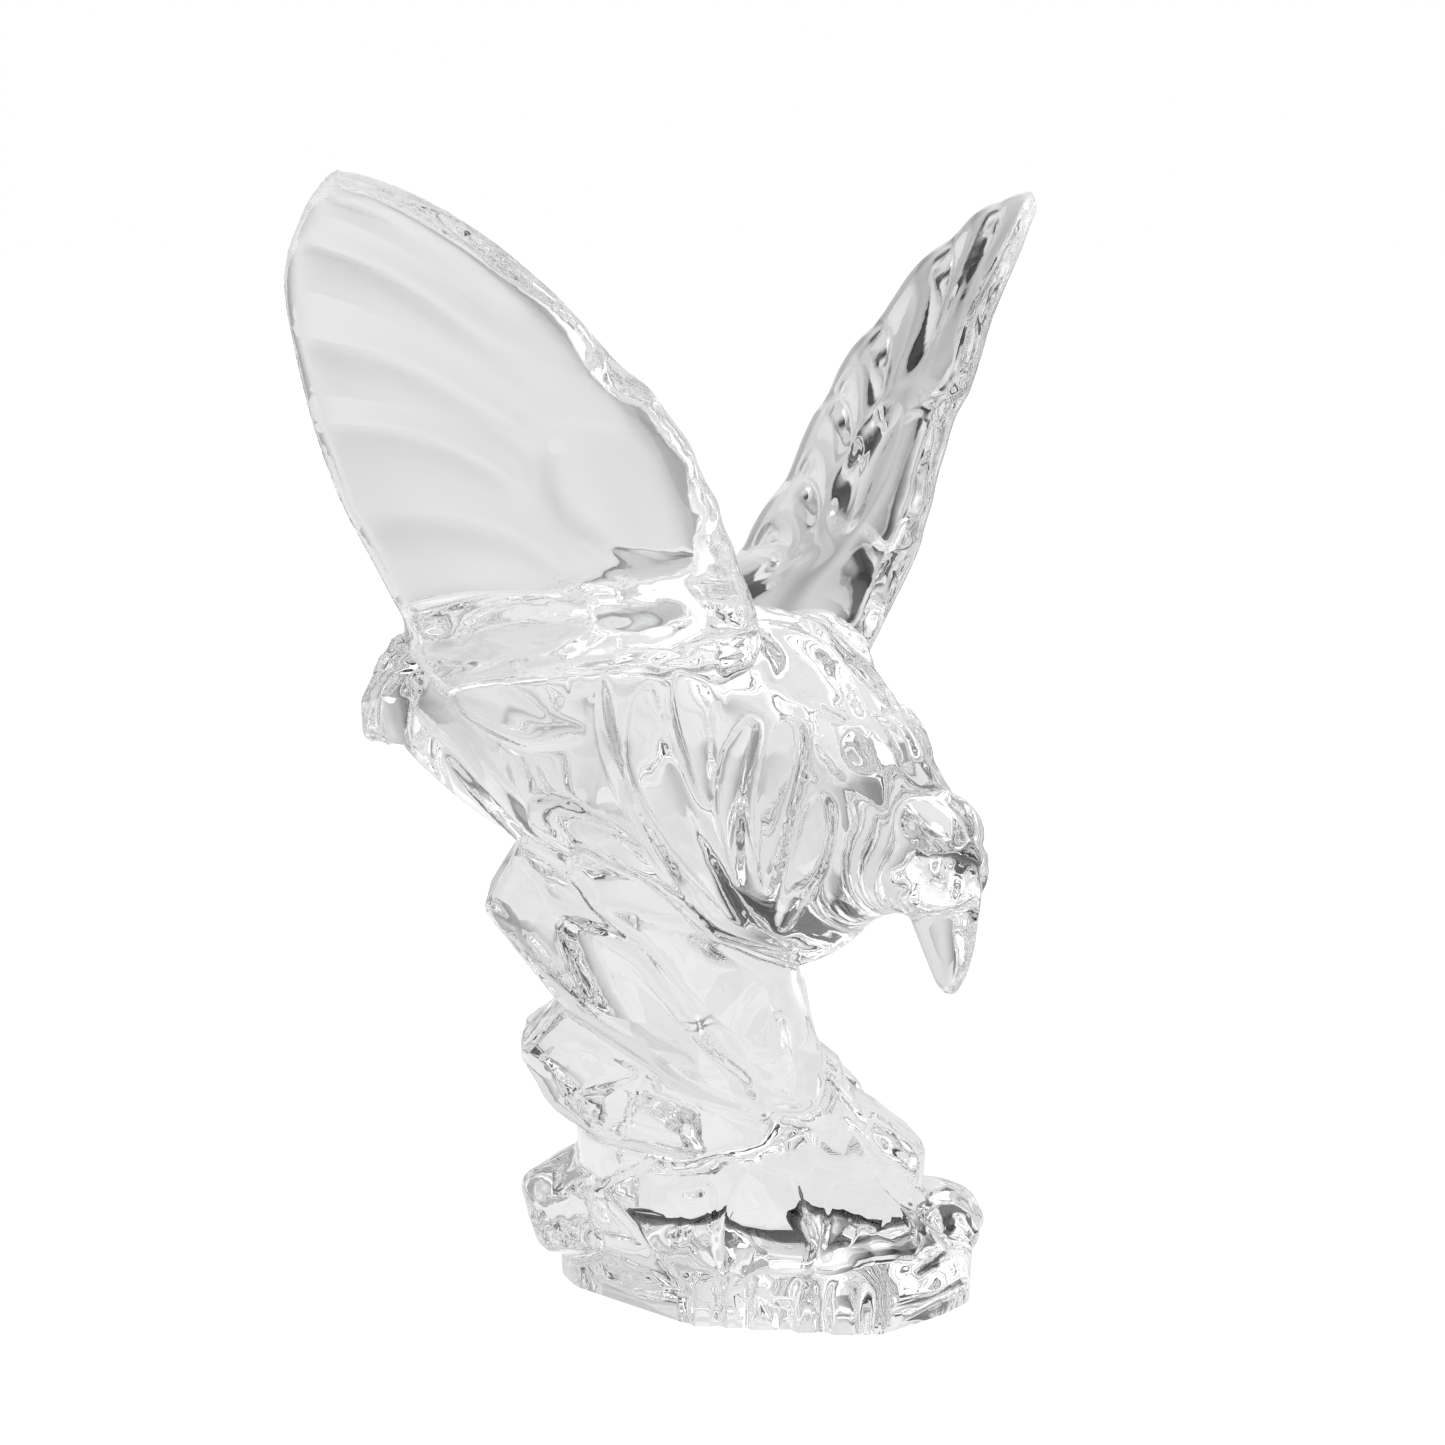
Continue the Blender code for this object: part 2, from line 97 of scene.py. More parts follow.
def studio_and_painted_light(tree, place, height, rows, edges, blend):
    """How bright the studio is at a place round the eagle, and how bright the table's painted light and
    shade are there: the rows follow each other by height.
    """
    spun = linked(tree, "ShaderNodeMapping", place, "Vector", vector_type="POINT")
    spun.inputs["Rotation"].default_value = (0, 0, math.radians(-90) - VIEW_TURN)
    parts = linked(tree, "ShaderNodeSeparateXYZ", spun.outputs["Vector"], "Vector")
    angle = linked(tree, "ShaderNodeMath", parts.outputs["Y"], 0, operation="ARCTAN2")
    tree.links.new(parts.outputs["X"], angle.inputs[1])
    share = linked(tree, "ShaderNodeMapRange", angle.outputs[0], "Value")
    share.inputs["From Min"].default_value = -math.pi
    share.inputs["From Max"].default_value = math.pi
    light = None
    for row, edge in zip(rows, (None, *edges)):
        ring = linked(tree, "ShaderNodeValToRGB", share.outputs["Result"], "Fac")
        ring.color_ramp.interpolation = "EASE"
        for k in range(13):
            stop = ring.color_ramp.elements[0] if k == 0 else ring.color_ramp.elements.new(k / 12)
            stop.position = k / 12
            stop.color = (*[row[k % 12] / BRIGHTEST] * 3, 1)
        ring.color_ramp.elements.remove(ring.color_ramp.elements[-1])
        if light is None:
            light = ring.outputs["Color"]
            continue
        step = linked(tree, "ShaderNodeMapRange", height, "Value", interpolation_type="SMOOTHSTEP")
        step.inputs["From Min"].default_value = edge - blend
        step.inputs["From Max"].default_value = edge + blend
        both = linked(tree, "ShaderNodeMix", step.outputs["Result"], "Factor", data_type="RGBA")
        tree.links.new(light, both.inputs["A"])
        tree.links.new(ring.outputs["Color"], both.inputs["B"])
        light = both.outputs["Result"]
    return light


def seen_or_shown_in_crystal(tree, seen, shown_in_crystal):
    """What the eye sees directly, and what the crystal shows instead: on the table, painted light and shade.
    """
    ray = tree.nodes.new("ShaderNodeLightPath")
    both = linked(tree, "ShaderNodeMixShader", ray.outputs["Is Camera Ray"], "Fac")
    tree.links.new(shown_in_crystal, both.inputs[1])
    tree.links.new(seen, both.inputs[2])
    return both.outputs["Shader"]


world = bpy.data.worlds.new("White studio")
bpy.context.scene.world = world
world.use_nodes = True
tree = world.node_tree
tree.nodes.clear()
way = tree.nodes.new("ShaderNodeTexCoord")
upward = linked(tree, "ShaderNodeSeparateXYZ", way.outputs["Generated"], "Vector").outputs["Z"]
panels_and_painted_light = studio_and_painted_light(tree, way.outputs["Generated"], upward, PANELS, PANEL_EDGES, PANEL_BLEND)
shown_in_crystal = linked(tree, "ShaderNodeBackground", panels_and_painted_light, "Color")
shown_in_crystal.inputs["Strength"].default_value = BRIGHTEST
seen = tree.nodes.new("ShaderNodeBackground")
seen.inputs["Color"].default_value = (1, 1, 1, 1)
out = linked(tree, "ShaderNodeOutputWorld", seen_or_shown_in_crystal(tree, seen.outputs[0], shown_in_crystal.outputs[0]), "Surface")

table_mesh = bmesh.new()
bmesh.ops.create_circle(table_mesh, cap_ends=True, segments=96, radius=TABLE_RADIUS)
table = bpy.data.objects.new("table", bpy.data.meshes.new("table"))
table_mesh.to_mesh(table.data)
table_mesh.free()
table_paint = bpy.data.materials.new("White table")
table_paint.use_nodes = True
tree = table_paint.node_tree
paint = tree.nodes["Principled BSDF"]
paint.inputs["Base Color"].default_value = (0.8, 0.8, 0.8, 1)
paint.inputs["Roughness"].default_value = 0.9
paint.inputs["Emission Color"].default_value = (1, 1, 1, 1)
paint.inputs["Emission Strength"].default_value = 0.8
# Painted light and shade: for the crystal the table glows in bright and dark patches round the eagle, while
# the eye sees it plain white
way = tree.nodes.new("ShaderNodeTexCoord")
away = linked(tree, "ShaderNodeVectorMath", way.outputs["Object"], 0, operation="LENGTH").outputs["Value"]
panels_and_painted_light = studio_and_painted_light(tree, way.outputs["Object"], away, TABLE_PAINTED_LIGHT, TABLE_EDGES, TABLE_BLEND)
shown_in_crystal = linked(tree, "ShaderNodeEmission", panels_and_painted_light, "Color")
shown_in_crystal.inputs["Strength"].default_value = BRIGHTEST
out = tree.nodes["Material Output"]
tree.links.new(seen_or_shown_in_crystal(tree, paint.outputs[0], shown_in_crystal.outputs[0]), out.inputs["Surface"])
table.data.materials.append(table_paint)
bpy.context.scene.collection.objects.link(table)

# Light turns round many times inside the thick glass before it finds its way out
LIGHT_TURNS = 48

view = bpy.context.scene
view.view_settings.view_transform = "Standard"
view.cycles.max_bounces = LIGHT_TURNS
view.cycles.transmission_bounces = LIGHT_TURNS
view.cycles.glossy_bounces = LIGHT_TURNS // 2

# The wings: raised in a V, 5 to 11 mm thick, with a bevelled rim, lapped flight feathers and a soft round
# cushion of small feathers at the wrist. They are pressed in one mould with the rest and fire-polished.

EAGLE_HEIGHT = 0.175
ROCK_HEIGHT = 0.072
BIRD = EAGLE_HEIGHT / 175
WING_ROOT_THICKNESS = 0.0115
WING_TIP_THICKNESS = 0.0055
QUILL_STEP = 0.0009
# How deeply the face of each wing that looks at the other one is cut, right and left
INNER_FACE = {-1: 0.8, 1: 2.6}
OUTER_FACE = 0.75

# Where each quill starts at the leading edge and ends at the trailing edge, root to tip: (out, back, up)
QUILLS = [
    ((17, -17, 70), (15, 84, 54)),
    ((22, -20, 82), (34, 77, 66)),
    ((27, -21, 91), (49.5, 60, 76)),
    ((31, -21, 100), (60, 56, 88)),
    ((36, -20, 111), (72, 54, 105)),
    ((42.5, -18.5, 121.5), (82, 51, 124)),
    ((51.5, -16, 130), (96, 40, 149)),
    ((63, -11, 143), (101.5, 27.5, 162)),
    ((81, -4.5, 158), (104, 18, 168.5)),
    ((99.5, 5.5, 169.5), (106, 11, 171)),
]
WING_RISE = {-1: 1.03, 1: 0.965}
FEATHER_EDGES = [(0.45, 0.16, 0.272), (0.50, 0.311, 0.406), (0.48, 0.428, 0.533)]
FEATHER_EDGES += [(0.375, 0.489, 0.617), (0.26, 0.594, 0.744), (0.25, 0.66, 0.885)]

crystal = bmesh.new()


def along_curve(points, share):
    """The point at this share of a smooth curve through rows of numbers, by Catmull and Rom's rule."""
    place = min(max(share, 0), 1) * (len(points) - 1)
    start = min(int(place), len(points) - 2)
    t = place - start
    p0, p1, p2, p3 = (points[min(max(start + k, 0), len(points) - 1)] for k in (-1, 0, 1, 2))
    return [
        0.5 * (2 * b + (c - a) * t + (2 * a - 5 * b + 4 * c - d) * t**2 + (3 * b - a - 3 * c + d) * t**3)
        for a, b, c, d in zip(p0, p1, p2, p3)
    ]


def smooth_step(low, high, value):
    t = min(max((value - low) / (high - low), 0), 1)
    return t * t * (3 - 2 * t)


def edges_of(verts):
    return list(dict.fromkeys(edge for vert in verts for edge in vert.link_edges))


def faces_of(verts):
    return list(dict.fromkeys(face for vert in verts for face in vert.link_faces))


def add_skin(place, around, lengthwise):
    """A closed skin: a grid rolled into a tube by place(share round, share along), its ends filled."""
    made = bmesh.ops.create_grid(crystal, x_segments=around, y_segments=lengthwise, size=0.5)["verts"]
    for vert in made:
        vert.co = place(vert.co.x + 0.5, vert.co.y + 0.5)
    bmesh.ops.remove_doubles(crystal, verts=made, dist=1e-7)
    made = [vert for vert in made if vert.is_valid]
    open_edges = [edge for edge in edges_of(made) if edge.is_boundary]
    if open_edges:
        bmesh.ops.holes_fill(crystal, edges=open_edges, sides=0)
    bmesh.ops.recalc_face_normals(crystal, faces=faces_of(made))


def wing_point(side, span, chord):
    """The middle of the wing's thickness at a share of its span and of its chord."""
    front = along_curve([q[0] for q in QUILLS], span)
    back = along_curve([q[1] for q in QUILLS], span)
    point = Vector(front).lerp(Vector(back), chord)
    point += Vector((-1.6, 0, 2.4)) * 4 * chord * (1 - chord) * (1 - span)
    rise = 62 + (point.z - 62) * WING_RISE[side]
    return Vector((side * point.x, point.y, rise)) * BIRD + Vector((0, 0, ROCK_HEIGHT))


def feather_lap(span, chord):
    """How high a flight feather stands at this place: each is a rounded blade that laps over the next."""
    edges = []
    for start, low, high in FEATHER_EDGES:
        bend = max(0, 1 - (chord - start) / (0.95 - start))
        edges.append(high - (high - low) * bend**3 if chord > start - 0.04 else None)
    below = [edge for edge in edges if edge is not None and edge <= span]
    above = [edge for edge in edges if edge is not None and edge > span]
    low = below[-1] if below else 0.02
    high = above[0] if above else 1.1
    climb = (span - low) / max(high - low, 0.02)
    if not above:
        return 0.5 * (1 - climb) ** 2
    return 3.2 * climb * (1 - climb) + 0.3 * (climb if climb < 0.8 else (1 - climb) / 0.2 * 0.8)


def wing_carving(span, chord, point, cushion, inner):
    """How far the wing's face stands out: lapped flight feathers, and the cushion of small feathers."""
    flight = smooth_step(0.3, 0.5, chord + 0.35 * max(0, span - 0.5)) * smooth_step(1, 0.95, chord)
    off = (point - cushion) / BIRD
    across = off.y / 13.5
    ring = math.hypot(across, off.z / 15)
    bead = 0.6 * math.exp(-(((ring - 1.05) / 0.2) ** 2)) * smooth_step(-0.6, 0.4, across)
    bead *= 1.3 if inner else 1
    dish = -0.35 * smooth_step(1.05, 0.55, ring)
    arm = 0.9 * math.exp(-(((chord - 0.17) / 0.09) ** 2)) * smooth_step(0.75, 0.3, span)
    feathers = flight * smooth_step(1.0, 1.25, ring) * (feather_lap(span, chord) - 0.4)
    return QUILL_STEP * (feathers + bead + dish + arm)


# Knuckles that stand out of the leading edge: where along the span, how wide and how far
KNUCKLES = [(0.64, 0.03, 2.0), (0.5, 0.03, 0.9), (0.38, 0.025, 1.1), (0.27, 0.025, 0.8), (0.8, 0.04, 0.7)]


def knuckle(span):
    return sum(far * math.exp(-(((span - where) / wide) ** 2)) for where, wide, far in KNUCKLES)


# Where the cushion's middle is, as shares of the span and of the chord
CUSHION = (0.406, 0.275)
# The bevels of the outer and of the inner face: their widths at both edges, and how sharply the tip is cut
OUTER_BEVEL = (0.0055, 0.003, 22)
INNER_BEVEL = (0.0018, 0.0015, 70)
NEARBY = 0.02

for side in (-1, 1):
    cushion = wing_point(side, *CUSHION)

    def place(around, span):
        turn = 2 * math.pi * around
        chord = 0.5 - 0.5 * math.cos(turn)
        face = 1 if math.sin(turn) >= 0 else -1
        middle = wing_point(side, span, chord)
        across = wing_point(side, span, min(chord + NEARBY, 1))
        across -= wing_point(side, span, max(chord - NEARBY, 0))
        outward = wing_point(side, min(span + NEARBY, 1), chord)
        outward -= wing_point(side, max(span - NEARBY, 0), chord)
        normal = across.cross(outward).normalized()
        width = (wing_point(side, span, 1) - wing_point(side, span, 0)).length
        inner = normal.x * face * side < 0
        bevel = INNER_BEVEL if inner else OUTER_BEVEL
        rim = min(chord * width / bevel[0], (1 - chord) * width / bevel[1], (1 - span) * bevel[2])
        half = 0.5 * (WING_ROOT_THICKNESS + (WING_TIP_THICKNESS - WING_ROOT_THICKNESS) * span**0.7)
        half *= 1 - 0.3 * smooth_step(0.1, 0.9, chord)
        half *= 0.3 + 0.7 * min(rim, 1)
        edge = min(1, abs(math.sin(turn)) * 6)
        depth = INNER_FACE[side] if inner else OUTER_FACE
        carving = depth * wing_carving(span, chord, middle, cushion, inner) * smooth_step(0.6, 1.6, rim)
        forward = -across.normalized() * BIRD * knuckle(span) * (1 - chord) ** 8
        return middle + forward + normal * face * (half + carving) * edge

    add_skin(place, 140, 130)

# The body: a heavy spindle from tail root to forehead, bent down at the neck. Its back and breast have
# small lapped tufts, and each flank has long pointed tufts that sweep down and back like flames.

DOWN_STEP = 0.0011
TUFT_STEP = 0.0026

# Tail root to forehead: how far back, half width, underside, back line
BODY = [
    (112, 15, 38, 58),
    (100, 18, 30, 61),
    (80, 21, 21, 66),
    (60, 23, 16, 71),
    (35, 25, 9, 76),
    (10, 27, 4, 80),
    (-10, 27, 1.5, 79),
    (-22, 24, 6, 74),
    (-32, 19.5, 14, 65.5),
    (-42, 15.5, 18.5, 57),
    (-50, 12.5, 19.5, 49),
    (-57.5, 9.5, 21, 42),
    (-62.5, 6.5, 24, 36),
    (-64.5, 3.5, 27, 33),
]

# The long tufts of each flank from root to point, as (back, up), and their half widths
TUFTS = [
    ([(92, 50), (74, 45), (54, 30), (36, 17), (18, 6)], 3.5),
    ([(80, 40), (62, 27), (46, 14), (28, 5.5), (8, 3.5)], 3.2),
    ([(80, 58), (62, 53), (44, 50), (28, 52)], 6),
    ([(50, 30), (30, 28), (6, 23), (-10, 14), (-22, 9)], 7.5),
    ([(26, 64), (19, 51.5), (12, 41.5), (4.6, 31.4), (-3.3, 21.2), (-10, 9)], 3.4),
    ([(11, 64), (4, 47), (-4, 36), (-12, 25), (-17, 13)], 6.5),
    ([(1, 69), (-8.5, 54), (-13, 42)], 5),
    ([(-20, 60), (-18.3, 50.7), (-18, 43), (-18.5, 34.7), (-18.3, 24)], 4),
    ([(-28, 60), (-27.4, 46), (-26.4, 35), (-24, 23)], 6),
    ([(-37, 46), (-35, 35), (-30, 25), (-23, 14)], 4.5),
]


def lapped_tufts(round_share, back, pitch, count):
    """Rows of pointed tufts that lap over each other: 0 at a tuft's root, 1 at its end."""
    row = math.floor(back / pitch)
    best = 0
    for k in (0, 1):
        cell = round_share * count + 0.5 * ((row + k) % 2)
        off = abs(2 * (cell - math.floor(cell)) - 1)
        reach = back / pitch - (row + k) + 1 + 0.75 * (1 - off) ** 1.3 - 0.75
        best = max(best, reach if 0 < reach < 1 else 0)
    return best


def body_point(around, length):
    back, half_width, low, high = along_curve(BODY, length)
    turn = 2 * math.pi * around
    ends = math.sqrt(max(0, min(1, (1 - length) * 14, length * 30)))
    middle = (low + high) / 2
    shown = smooth_step(-54, -44, back) * smooth_step(100, 70, back)
    shown *= smooth_step(-0.1, 0.5, -math.cos(turn))
    tufts = lapped_tufts(around, back + 60, 19, 9)
    out = 1 + DOWN_STEP / BIRD * shown * (tufts - 0.5) / half_width
    x = half_width * ends * math.sin(turn) * out
    z = middle - (high - low) / 2 * ends * math.cos(turn) * out
    return Vector((x, back, z)) * BIRD + Vector((0, 0, ROCK_HEIGHT))


add_skin(body_point, 110, 200)


def body_ring(back):
    """Half width, underside and back line of the body at this distance back."""
    length = 0.5
    for k in range(1, 12):
        length += 0.5 ** (k + 1) * (1 if along_curve(BODY, length)[0] > back else -1)
    return along_curve(BODY, length)[1:]


def flank_point(side, back, up):
    """A point of the body's flank and the way out of it there."""
    half_width, low, high = body_ring(back)
    middle = (low + high) / 2
    rise = min(max((up - middle) / (high - low) * 2, -0.97), 0.97)
    out = half_width * math.sqrt(1 - rise**2)
    normal = Vector((side * out / half_width**2, 0, (up - middle) / ((high - low) / 2) ** 2)).normalized()
    return Vector((side * out, back, up)) * BIRD + Vector((0, 0, ROCK_HEIGHT)), normal


def add_tuft(side, path, half_width):
    """One long tuft: blunt where it leaves the body, pointed at its end, higher at one edge."""

    def place(around, length):
        middle, outward = flank_point(side, *along_curve(path, length))
        ahead = flank_point(side, *along_curve(path, min(length + 0.03, 1)))[0]
        behind = flank_point(side, *along_curve(path, max(length - 0.03, 0)))[0]
        across = (ahead - behind).cross(outward).normalized()
        full = min(1, length * 5) ** 0.5 * (1 - length**2.2) ** 0.8
        turn = 2 * math.pi * around
        swell = 1 - abs(math.sin(turn)) ** 3.5
        lap = 0.8 + 0.3 * math.sin(turn)
        out = TUFT_STEP * (0.25 + 0.75 * swell * lap) if math.cos(turn) > 0 else -1.2 * TUFT_STEP * swell
        return middle + across * half_width * BIRD * full * math.sin(turn) + outward * out * full**0.5

    add_skin(place, 32, 44)


def add_bulge(middle, radii, pitch, side=1):
    """An egg of glass that swells the form: a shoulder, a thigh, a brow, a cheek."""
    turned = Matrix.Rotation(math.radians(pitch), 4, "X")
    centre = Vector((side * middle[0], middle[1], middle[2])) * BIRD + Vector((0, 0, ROCK_HEIGHT))

    def place(around, length):
        turn, rise = 2 * math.pi * around, math.pi * length
        x, y, z = math.sin(rise) * math.cos(turn), math.sin(rise) * math.sin(turn), math.cos(rise)
        return centre + turned @ Vector((radii[0] * x, radii[1] * y, radii[2] * z)) * BIRD

    add_skin(place, 40, 24)


for side in (-1, 1):
    add_bulge((13, -6, 61), (9, 16, 18), 30, side)
    add_bulge((11, 10, 12), (9, 19, 11), -25, side)
    for path, half_width in TUFTS:
        add_tuft(side, path, half_width)

# The head: a smooth crown above a smooth cheek on each side, a round collar at the nape, an eye and the long
# hooked beak hanging in front.

# The beak from its root to its point: (back, up) of its front and of its back edge, and its half width
BEAK = [
    ((-60, 36), (-46, 24), 7.5),
    ((-65.5, 29), (-47, 20), 6.2),
    ((-65, 20), (-49.5, 15), 5.2),
    ((-64, 14), (-52, 10), 4.2),
    ((-62, 8), (-54.5, 5.5), 2.9),
    ((-59.5, 4), (-57, 3.5), 1.4),
]


def beak_point(around, length):
    front_y, front_z, rear_y, rear_z, half = along_curve([(*f, *r, h) for f, r, h in BEAK], length)
    turn = 2 * math.pi * around
    forward = 0.5 + 0.5 * math.cos(turn)
    x = half * math.sin(turn) * (0.55 + 0.45 * (1 - forward))
    y = rear_y + (front_y - rear_y) * forward
    z = rear_z + (front_z - rear_z) * forward
    return Vector((x, y, z)) * BIRD + Vector((0, 0, ROCK_HEIGHT))


add_skin(beak_point, 48, 50)
# Collar, crown, cheek and eye: the middle, the radii and the pitch of each
HEAD_FORMS = [
    ((2.5, -37, 51.5), (10.5, 10, 9), 38),
    ((2.5, -53.5, 39.5), (8.2, 9.5, 5.8), 30),
    ((6, -49, 31.5), (6.2, 9.5, 6.5), 22),
    ((6.2, -60, 32.5), (2, 2.2, 2), 0),
]

for side in (-1, 1):
    for form in HEAD_FORMS:
        add_bulge(*form, side)

# The tail: a thick fan, arched from side to side, whose feathers lap outwards from the middle one.

TAIL_FEATHERS = 7


def tail_point(around, length):
    turn = 2 * math.pi * around
    spread = math.sin(turn)
    back = 62 + 53 * length - 5 * length * spread**2
    half_width = 13 + 9 * length
    lap = (abs(spread) * TAIL_FEATHERS / 2 + 0.5) % 1
    top = 66 - 1.5 * length - (9 + 7 * length) * spread**2
    thick = 21 - 7 * length
    groove = 1.3 * (1 - lap) * length * (1 - smooth_step(0.9, 1, abs(spread)))
    rounded = math.sqrt(max(0, 1 - spread**2))
    z = top - groove if math.cos(turn) >= 0 else top - thick * min(1, 2.2 * rounded) + groove
    return Vector((half_width * spread, back, z)) * BIRD + Vector((0, 0, ROCK_HEIGHT))


add_skin(tail_point, 120, 40)

# The rock: leaning slabs across a column, a mound with flat faces, prisms round the foot and an upright
# rim, with every edge cut back as the mould leaves it. Its own axes lie along the slabs, across them and up.

ROCK_LENGTH = 0.105
ROCK_DEPTH = 0.079
RIM_HEIGHT = 0.010
CHAMFER = 0.0015
ROCK_TURN = math.radians(-45)
ALONG = ROCK_LENGTH / 105
ACROSS = ROCK_DEPTH / 79
UP = ROCK_HEIGHT / 72
FOOT = [(-44, -2), (-40, 8), (-30, 12), (-15, 32), (10, 36.5), (27, 39.5), (41, 27), (48, 18), (50, -8)]
FOOT += [(38, -30), (10, -39.5), (-22, -36), (-41, -20)]

# Four leaning blocks on the front of the mound, each by its corners
FACETS = [
    [(-31, 15, 6), (-14, 31, 6), (-6, 33.5, 10), (-9, 25, 31), (-25, 19, 27), (-30, 13, 20), (-16, 8, 8)],
    [(-8, 34, 6), (11, 38, 6), (14, 34, 20), (9, 25, 33), (-3, 27, 36), (-9, 31, 22), (4, 8, 8)],
    [(13, 38, 6), (33, 34, 6), (37, 26, 20), (27, 22, 33), (16, 26, 30), (13, 34, 17), (22, 8, 8)],
    [(34, 32, 6), (45, 18, 6), (42, 12, 20), (31, 11, 32), (28, 19, 27), (34, 26, 19), (26, 0, 8)],
]


def add_hull(points):
    """A block of rock: the tightest skin round points (along, across, up) with its corners cut."""
    made = [crystal.verts.new(point) for point in points]
    bmesh.ops.convex_hull(crystal, input=made)
    bmesh.ops.delete(crystal, geom=[vert for vert in made if not vert.link_faces], context="VERTS")
    made = [vert for vert in made if vert.is_valid]
    bmesh.ops.dissolve_limit(crystal, angle_limit=0.05, verts=made, edges=edges_of(made))
    made = [vert for vert in made if vert.is_valid]
    cut = bmesh.ops.bevel(
        crystal,
        geom=edges_of(made),
        offset=CHAMFER / UP,
        affect="EDGES",
        segments=1,
        profile=0.5,
        clamp_overlap=True,
        material=-1,
    )
    made = list(dict.fromkeys([vert for vert in made if vert.is_valid] + cut["verts"]))
    to_eagle = Matrix.Rotation(ROCK_TURN, 4, "Z") @ Matrix.Diagonal((ALONG, -ACROSS, UP, 1))
    bmesh.ops.transform(crystal, matrix=to_eagle, verts=made)
    bmesh.ops.recalc_face_normals(crystal, faces=faces_of(made))


# How far each block's front and back edges are cut back
CUT_DEPTH = 6


def add_ledge(profile, front, back, taper=0.86, lean=0):
    """A block whose outline (along, up) runs from front to back and is cut back round both faces."""
    middle = [sum(p[k] for p in profile) / len(profile) for k in (0, 1)]
    points = []
    cut = math.copysign(CUT_DEPTH, front - back)
    face, body = taper - 0.1, 0.98
    for across, share in ((front, face), (front - cut, body), (back + cut, body), (back, face)):
        for p in profile:
            along, up = (middle[k] + (p[k] - middle[k]) * share for k in (0, 1))
            points.append((along + lean * (across - (front + back) / 2), across, up))
    add_hull(points)


rim = RIM_HEIGHT / UP
levels = ((0.985, -4), (1, rim), (0.9, rim + 4))
add_hull([(a * share, c * share, up) for a, c in FOOT for share, up in levels])

# Upright ribs on the front of the rim: where along it, and half their width
RIBS = ((-11, 2.4), (-4.5, 2), (2, 2.8), (11, 2.2), (19, 2.6))
RIB_DEPTH = 6

levels = ((1, -4), (1, rim - 1), (0.8, rim + 1))
for along, half_width in RIBS:
    across = 32 + 4.5 * (along + 15) / 25 if along < 10 else 36.5 + 3 * (along - 10) / 17
    add_hull([
        (along + a * share, across + 0.9 * share - deep, up)
        for a in (-half_width, half_width) for deep in (0, RIB_DEPTH) for share, up in levels])
for corners in FACETS:
    add_hull(corners)
mound = [(-8, 16, 43), (18, 12, 43), (16, -10, 46), (-16, -12, 46), (-33, 19, 25), (-38, -4, 24)]
mound += [(-15, 32, 9), (10, 36.5, 10), (27, 38, 10), (42, 25, 13), (44, 8, 14), (40, -20, 12)]
mound += [(8, -34, 12)]
add_hull(mound + [(-30, -26, 14), (-41, 5, 8), (0, 0, -2)])
# The column and its slabs from the top down, then the prisms round the foot
add_ledge(
    [(-40, 98), (-45, 80), (-32, 52), (-12, 40), (15, 41), (15, 54), (9, 76), (-12, 90)], 20, -20, 0.9)
add_ledge(
    [(-52, 102), (-60, 89), (-41, 65), (-14, 46), (4, 40), (5, 46), (-8, 60), (-24, 84)], 24, -12, 0.84)
add_ledge(
    [(-42, 66), (-52.5, 56), (-46, 44), (-36, 36), (-12, 31), (8, 34), (6, 42), (-18, 54)], 21, -19, 0.86)
add_ledge([(-41, 42), (-39, 27), (-26, 14), (22, 12), (27, 38), (16, 50), (-8, 48)], 16, -24)
add_ledge([(-52, 23), (-48, 8), (-20, 2), (-18, 26), (-34, 33)], 14, -8, 0.8, 0.15)
add_ledge([(20, 6), (45, 1), (52.5, 11), (48, 18.5), (24, 24)], 14, -14, 0.75, -0.2)
add_ledge([(8, 20), (37, 18), (37, 32), (27, 40), (8, 46)], 10, -18, 0.8, 0.2)
add_ledge([(4, 34), (22, 32), (20.5, 49), (14, 54), (4, 56)], 8, -14, 0.8)
add_ledge([(-34, 10), (-14, 6), (-12, 34), (-26, 40)], -14, -37, 0.7, 0.3)
add_ledge([(0, 8), (30, 4), (26, 28), (6, 34)], -16, -38, 0.75, -0.3)

# The casting: the shapes above are one melt, so they are fused into one skin, softened by fire polish and
# ground flat underneath. The crystal is clear and colourless, and keeps the slight waves of the mould.

SKIN_PITCH = 0.0008
MOST_TRIANGLES = 196000
POLISH = 0.5
POLISH_PASSES = 3
GROUND_OFF = 0.0001
# The bird is polished longer than the rock, and the wings longest: above which height, and how often
BIRD_POLISH = [(0.074, 1), (0.148, 9)]
# How high the waves of the mould stand, how many there are to a metre, and at which heights they change over
ROCK_WAVE = 0.0007
BIRD_WAVE = 0.00025
MOUND_WAVE = 0.0011
LONG_WAVES = 62
SHORT_WAVES = 170
MOUND_WAVES = 105
ROCK_TOP = (0.082, 0.06)
MOUND_TOP = (0.036, 0.028)
WINGS_BEGIN = (0.14, 0.17)
STILL_FOOT = 0.004
# The glass ran down the slabs and to the right, and left long streaks there
FLOW_WAVE = 0.0009
FLOW_SLOPE = math.radians(-30)
FLOW_WIDTHS = (1 / 28, 1 / 60, 1 / 110)
# A three-cornered hollow in the front of the column, as (along, up)
HOLLOW = [(-23, 65), (8, 67), (9.5, 45)]
HOLLOW_DEPTH = 0.0025
HOLLOW_SLOPE = 3

